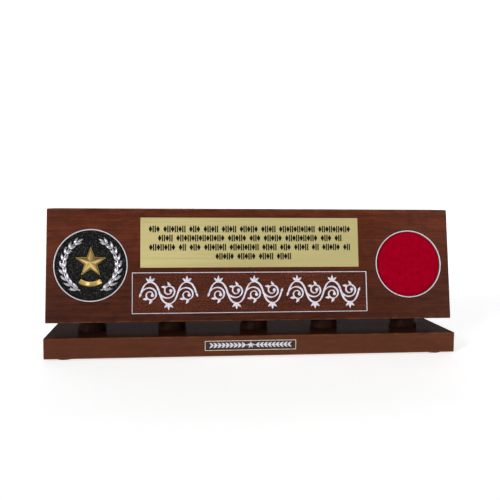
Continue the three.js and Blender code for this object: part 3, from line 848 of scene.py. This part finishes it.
def wreath_half(name, side):
    """Half of a laurel wreath: a tapering bent stem, leaves in pairs, and berries between them."""
    radius, start, end, pairs, spread = 28.5 * MM, math.radians(-68), math.radians(62), 9, 0.58
    relief = Relief()

    def place(angle, outwards=0.0):
        reach = radius + outwards
        return side * reach * math.cos(angle), reach * math.sin(angle)

    def grow(angle, lean, size, width):
        heading = angle + math.pi / 2 + lean
        facing = heading if side > 0 else math.pi - heading
        relief.leaf(*place(angle), facing, size, width, 1.9 * MM, bend=-0.55 * lean * side)

    steps = 40
    stem = [place(start + (end - start) * i / steps) for i in range(steps + 1)]
    relief.sweep(stem, lambda t, heading: (1.8 - 0.9 * t) * MM, lambda t: (1.6 - 0.5 * t) * MM)
    for i in range(pairs):
        t = (i + 0.35) / pairs
        angle = start + (end - start) * t
        for lean in (-spread, spread):
            grow(angle, lean, (10.4 - 2.4 * t) * MM, 3.7 * MM)
        if i % 2 == 1:
            for outwards in (-2.9 * MM, 2.9 * MM):
                relief.dome(*place(angle - 0.03, outwards), 0.85 * MM, 1.5 * MM)
    grow(end - 0.03, 0.0, 7.2 * MM, 3.4 * MM)
    return relief.object(name, 50.0)


def ribbon(name):
    """A ribbon hung in an arc under the star, waving gently, with rolled edges and notched ends."""
    radius, band, half, notch = 22.8 * MM, 5.6 * MM, math.radians(35), 0.1
    steps, across = 48, 10
    relief = Relief()
    rings, crests = [], []
    for i in range(steps + 1):
        angle = -math.pi / 2 + half * (2 * i / steps - 1)
        fold = math.cos(4 * math.pi * (i / steps - 0.5))
        pull = notch if i == 0 else -notch if i == steps else 0.0
        ring, crest = [], []
        for j in range(across + 1):
            r = radius - band * j / across
            turn = angle + pull * (1 - abs(2 * j / across - 1))
            rim = j in (1, across - 1)
            outside = j in (0, across)
            z = (1.3 + 0.22 * fold + 0.25 * rim - 0.35 * outside) * MM
            ring.append((r * math.cos(turn), r * math.sin(turn), z))
            crest.append(0.95 if rim else 0.15 if outside else 0.58 + 0.14 * fold)
        for r in (radius - band, radius):
            ring.append((r * math.cos(angle), r * math.sin(angle), 0.0))
            crest.append(0.0)
        rings.append(ring)
        crests.append(crest)
    relief.loft(rings, crests)
    return relief.object(name, 45.0)


def make_coin_recess():
    """The felt floor of the coin recess: a cut disc with a soft, slightly uneven nap."""
    node = "coin_felt"
    radius, half = width_of(node) / 2, 0.5 * MM
    disc = felt_disc("coin_felt_disc", radius, half, seed=3)
    red = felt_material("red_felt", (0.20, 0.0001, 0.0062), (0.37, 0.0004, 0.0150), sheen=0.0)
    settle(disc, "red_felt", red, node, matrix=face_matrix(node))


def felt_disc(name, radius, half, seed):
    """A round piece of felt with a rounded cut edge and a slightly lumpy face."""
    rings, segments, lump, nap = 40, 120, 0.06 * MM, 0.035 * MM
    lump_scale, nap_scale = 260, 1500
    random.seed(seed)
    shift = Vector((random.random(), random.random(), random.random())) * 10
    soft = min(0.3 * MM, 0.5 * half)
    hub = 0.01 * radius
    profile = [(hub, -half), (radius - soft, -half), (radius, -half + soft), (radius, half - soft),
               (radius - 0.4 * soft, half - 0.3 * soft)]
    profile += [((radius - soft) * (1 - i / rings) + hub, half) for i in range(rings)]
    loops = []
    for r, z in profile:
        loop = circle(r, z, segments)
        if z == half:
            loop = [(x, y, z - lump + lump * noise.noise(Vector((x, y, z)) * lump_scale + shift)
                     + nap * noise.noise(Vector((x, y, 0.0)) * nap_scale + shift)) for x, y, z in loop]
        loops.append(loop)
    relief = Relief()
    relief.loft(loops, [[0.5] * segments] * len(loops))
    return relief.object(name, 60.0)


# ---------------------------------------------------------------------------------------------
# Brass plate and its engraving
# ---------------------------------------------------------------------------------------------

# Each engraved row: its height above the plate's middle in mm, its shift to the right in mm, and
# how many marks there are in each of its runs.
ENGRAVED_ROWS = [
    (14.5, 0.0, (3, 6, 3, 4, 4, 5, 4, 10, 9)),
    (4.7, 0.0, (4, 13, 5, 3, 5, 9, 3, 2)),
    (-5.2, 0.0, (7, 2, 3, 6, 8, 4, 3, 4, 2, 5, 2)),
    (-15.1, 2.4, (5, 5, 4, 4)),
]


def make_brass():
    """The engraved brass plate. Its rows are runs of lozenges and bars, an ornament and not writing."""
    node, height, thickness, ease = "brass_plate", 54.0 * MM, 0.8 * MM, 0.16 * MM
    plate = slab("brass_sheet", width_of(node), height, thickness, ease)
    settle(plate, "satin_brass", brass_material(), node, matrix=face_matrix(node))
    pitch, gap = 4.0 * MM, 3.6 * MM
    marks = Relief()
    for up, right, runs in ENGRAVED_ROWS:
        x = right * MM - (sum(runs) * pitch + gap * (len(runs) - 1)) / 2
        for count in runs:
            for i in range(count):
                engrave(marks, x + (i + 0.5) * pitch, up * MM, i % 2)
            x += count * pitch + gap
    engraving = marks.object("brass_engraving", 30.0, fused=False)
    sunk = 0.03 * MM
    settle(engraving, "satin_brass", engraving_material(), matrix=face_matrix(node, z=thickness / 2 - sunk))


def engrave(marks, x, y, kind):
    """A black-filled lozenge (kind 0) or a pair of upright bars (kind 1)."""
    half_high, thick = 3.6 * MM, 0.05 * MM
    if kind == 0:
        half_wide, shoulder = 1.85 * MM, 0.12 * half_high
        outline = [(half_wide, -shoulder), (half_wide, shoulder), (0.0, half_high),
                   (-half_wide, shoulder), (-half_wide, -shoulder), (0.0, -half_high)]
        flat_mark(marks, x, y, outline, thick)
        return
    half_wide = 0.72 * MM
    corners = ((-1, -1), (1, -1), (1, 1), (-1, 1))
    for shift in (-1.12 * MM, 1.12 * MM):
        outline = [(shift + a * half_wide, b * half_high) for a, b in corners]
        flat_mark(marks, x, y, outline, thick)


def flat_mark(marks, x, y, outline, thick):
    rings = [[(x + a, y + b, z) for a, b in outline] for z in (0.0, thick)]
    marks.loft(rings, [[0.0] * len(outline), [1.0] * len(outline)])


# ---------------------------------------------------------------------------------------------
# Ornament panel
# ---------------------------------------------------------------------------------------------

def make_ornament_panel():
    """The white frame line and the three lengths of scrollwork inside it."""
    white = paint_material("white_paint", (0.55, 0.52, 0.60), (0.74, 0.71, 0.80), 0.5, coat=0.04)
    line, seat, height = 0.85 * MM, 1.8 * MM, 43.3 * MM
    border = frame_line("name_line", width_of("name_frame") - line, height, line, seat)
    settle(border, "white_paint", white, "name_frame", matrix=face_matrix("name_frame"))
    half_thick = 0.65 * MM
    for word, width, waves in (("left", 58.5, 3), ("centre", 78.0, 4), ("right", 78.0, 4)):
        node = f"name_ornament_{word}"
        piece = scrollwork(f"scrollwork_{word}", width * MM, waves)
        settle(piece, "white_paint", white, node, matrix=face_matrix(node, z=-half_thick))


def pen_width(line, heading):
    """The width of a stroke drawn with a broad pen: widest where it runs across the pen's edge."""
    pen_angle = math.radians(25)
    return line * (0.72 + 0.5 * abs(math.sin(heading - pen_angle)))


def scrollwork(name, width, waves):
    """A stem in rounded arches, a spiral inside each arch, and leaves on crests, spirals and ends."""
    swing, bulge, line, top = 11.5 * MM, 1.3 * MM, 1.75 * MM, 1.3 * MM
    leaf_wide, steps = 2.9 * MM, 28 * waves
    relief = Relief()
    stem = []
    for i in range(steps + 1):
        turn = i / steps * waves * math.pi
        stem.append((width * (i / steps - 0.5) - bulge * math.sin(2 * turn), swing * math.sin(turn)))
    relief.sweep(stem, lambda t, heading: pen_width(line, heading), lambda t: top)
    for i in range(waves):
        side = 1 if i % 2 == 0 else -1
        middle_x = width * ((i + 0.5) / waves - 0.5)
        curl = scroll(middle_x, side)
        relief.sweep(curl, lambda t, heading: pen_width(line * (1 - 0.3 * t), heading), lambda t: 0.97 * top)
        relief.dome(*curl[-1], 1.8 * MM, top)
        for lean in (-0.85, 0.0, 0.85):
            size = (7.0 if lean == 0 else 6.6) * MM
            heading = side * (math.pi / 2 + lean)
            relief.leaf(middle_x, side * swing, heading, size, leaf_wide, 0.98 * top, vein=0.2)
        for share in (0.44, 0.54):
            k = round(share * (len(curl) - 1))
            (x0, y0), (x1, y1) = curl[k], curl[k + 1]
            heading = math.atan2(y1 - y0, x1 - x0) + side * 0.75
            relief.leaf(x0, y0, heading, 5.8 * MM, leaf_wide, 0.94 * top, vein=0.2)
    last = 1 if waves % 2 == 0 else -1
    relief.leaf(-width / 2, 0.0, math.pi + 1.2, 5.0 * MM, 2.7 * MM, 0.92 * top, vein=0.2)
    relief.leaf(width / 2, 0.0, last * 1.2, 5.0 * MM, 2.7 * MM, 0.92 * top, vein=0.2)
    return relief.object(name, 50.0)


def scroll(middle_x, side):
    """The centre line of a scroll that leaves the stem at the left of an arch and winds in to its eye."""
    outer, eye, flare, drop, turns, steps = 7.9 * MM, 2.3 * MM, 2.4 * MM, 2.0 * MM, 1.5, 84
    points = []
    for i in range(steps + 1):
        t = i / steps
        radius = eye + (outer - eye) * (1 - t) + flare * math.exp(-14 * t)
        angle = math.pi * 0.94 - t * turns * 2 * math.pi
        points.append((middle_x + radius * math.cos(angle), side * (radius * math.sin(angle) - drop)))
    return points


# ---------------------------------------------------------------------------------------------
# Base label, feet and screws
# ---------------------------------------------------------------------------------------------

def make_label(enamel):
    """The small dark label with a cream line and a white sprig, in the front of the base."""
    height, thickness, ease = 11.0 * MM, 0.6 * MM, 0.1 * MM
    plate = slab("label_sheet", width_of("label_plate"), height, thickness, ease)
    settle(plate, "dark_label", label_material(), "label_plate", matrix=front_matrix("label_plate"))
    cream = paint_material("cream_line", (0.46, 0.40, 0.28), (0.62, 0.56, 0.42), 0.4, coat=0.2)
    line, line_height, thick = 0.7 * MM, 9.9 * MM, 0.35 * MM
    border = frame_line("label_line", width_of("label_border") - line, line_height, line, thick)
    settle(border, "cream_line", cream, "label_border", matrix=front_matrix("label_border"))
    sprig = laurel_sprig("label_sprig")
    half_thick = 0.2 * MM
    place = front_matrix("label_ornament", -half_thick)
    settle(sprig, "white_enamel", enamel, "label_ornament", matrix=place)


def laurel_sprig(name):
    """A star in the middle of a straight laurel branch that runs out to both sides."""
    reach, pairs, first, last, top = 42.0 * MM, 9, 6.0 * MM, 40.0 * MM, 0.4 * MM
    hub, steps, spread = 2.0 * MM, 20, 0.62
    relief = Relief()
    points = star_outline(3.9 * MM, 1.6 * MM)
    levels = ((1.0, 0.0), (1.0, 0.7), (0.88, 1.0))
    relief.loft([[(x * s, y * s, z * top) for x, y in points] for s, z in levels],
                [[z] * 10 for s, z in levels])
    for side in (-1, 1):
        stem = [(side * (hub + (reach - hub) * i / steps), 0.0) for i in range(steps + 1)]
        relief.sweep(stem, lambda t, heading: (0.9 - 0.3 * t) * MM, lambda t: 0.8 * top)
        for i in range(pairs):
            x = side * (first + i * (last - first) / (pairs - 1))
            for lean in (-spread, spread):
                facing = lean if side > 0 else math.pi - lean
                relief.leaf(x, 0.0, facing, 4.8 * MM, 1.9 * MM, top, vein=0.15)
    return relief.object(name, 45.0)


def make_feet():
    """Four black felt discs stuck under the base."""
    black = felt_material("black_felt", (0.006, 0.006, 0.006), (0.028, 0.028, 0.028), sheen=0.2)
    for i in range(1, FEET + 1):
        node = f"felt_foot_{i}"
        low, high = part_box(node)
        radius, half = (high.x - low.x) / 2, (high.z - low.z) / 2
        foot = felt_disc(f"foot_{i}", radius, half, seed=20 + i)
        settle(foot, "black_felt", black, node, matrix=Matrix.Translation(middle(node)))


def make_screws():
    """The mounting screws keep their CAD shape and get softer shading and a steel finish."""
    steel = steel_material()
    for i in range(1, PEGS + 1):
        smooth_copy(f"mounting_screw_{i}", f"screw_{i}", "screw_steel", steel)


# ---------------------------------------------------------------------------------------------

make_camera()
make_lights()
make_floor()
make_woodwork()
white_enamel = paint_material("white_enamel", (0.50, 0.485, 0.56), (0.65, 0.63, 0.71), 0.4, coat=0.08)
make_rings(white_enamel)
make_medallion()
make_coin_recess()
make_brass()
make_ornament_panel()
make_label(white_enamel)
make_feet()
make_screws()
